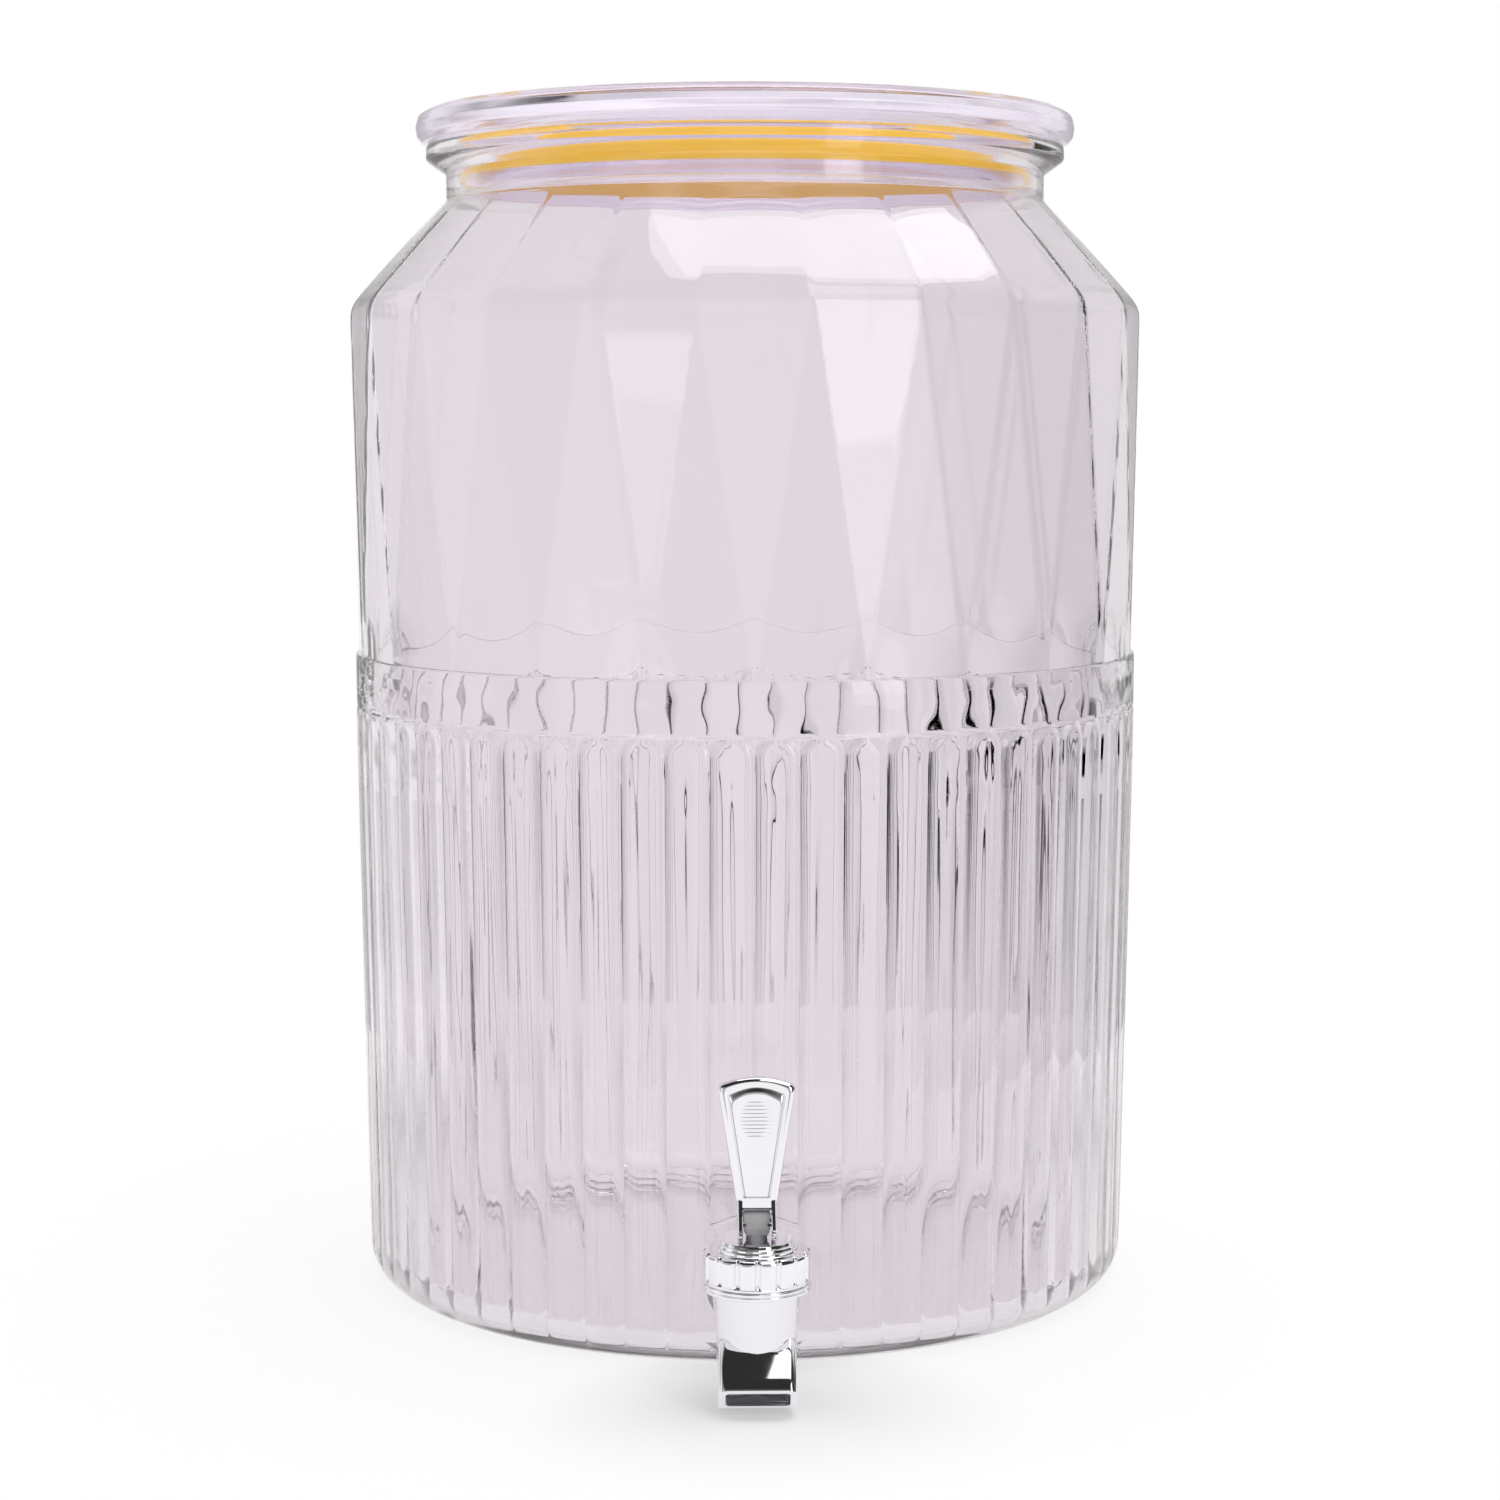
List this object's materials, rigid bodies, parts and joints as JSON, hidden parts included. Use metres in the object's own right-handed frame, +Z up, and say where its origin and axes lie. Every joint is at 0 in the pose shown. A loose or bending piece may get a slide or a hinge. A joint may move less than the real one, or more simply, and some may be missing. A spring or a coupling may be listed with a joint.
{
  "type": "detergent dispenser jar",
  "caption": "Clear wide-mouth dispenser jar with cut facets above a ribbed body, a push-in lid with a silicone seal, and a chrome lever tap low on the front.",
  "frame": {"origin": "centre of the standing face, on the axis of the jar", "axes": "+Z up along the jar axis, -Y towards the tap, +X to the right of a person facing the tap"},
  "size_m": [0.2324, 0.2705, 0.346],
  "materials": {
    "clear_jar": "clear moulded plastic with a faint lavender tint",
    "clear_lid": "clear moulded plastic, lavender in the thick rim",
    "yellow_silicone": "golden yellow silicone, satin",
    "chrome_plate": "chrome-plated plastic, mirror bright",
    "grey_plastic": "moulded grey plastic",
    "white_silicone": "milky silicone",
    "steel": "stainless steel wire"
  },
  "bodies": {
    "jar": {"jar_body": "clear_jar", "tap_body": "chrome_plate", "tap_bonnet": "chrome_plate", "bonnet_gasket": "white_silicone", "outer_washer": "white_silicone", "inner_washer": "white_silicone", "lock_nut": "grey_plastic", "return_spring": "steel"},
    "lid": {"lid": "clear_lid", "lid_seal": "yellow_silicone"},
    "stem": {"valve_stem": "grey_plastic", "seat_plug": "white_silicone", "lever_pin": "steel"},
    "lever": {"tap_lever": "chrome_plate"}
  },
  "joints": [
    {"name": "lid_lift", "type": "slide", "parent": "jar", "child": "lid", "axis": [0, 0, 1], "range_m": [0, 0.12]},
    {"name": "stem_lift", "type": "slide", "parent": "jar", "child": "stem", "axis": [0, 0, 1], "range_m": [0, 0.0035], "stiffness_N_per_m": 1200, "deforming": ["return_spring"]},
    {"name": "lever_tilt", "type": "hinge", "parent": "stem", "child": "lever", "pos_m": [0, -0.13785, 0.0477], "axis": [1, 0, 0], "range_deg": [0, 60]}
  ],
  "couplings": [
    {"joint": "stem_lift", "follows": "lever_tilt", "m_per_rad": 0.0033}
  ]
}
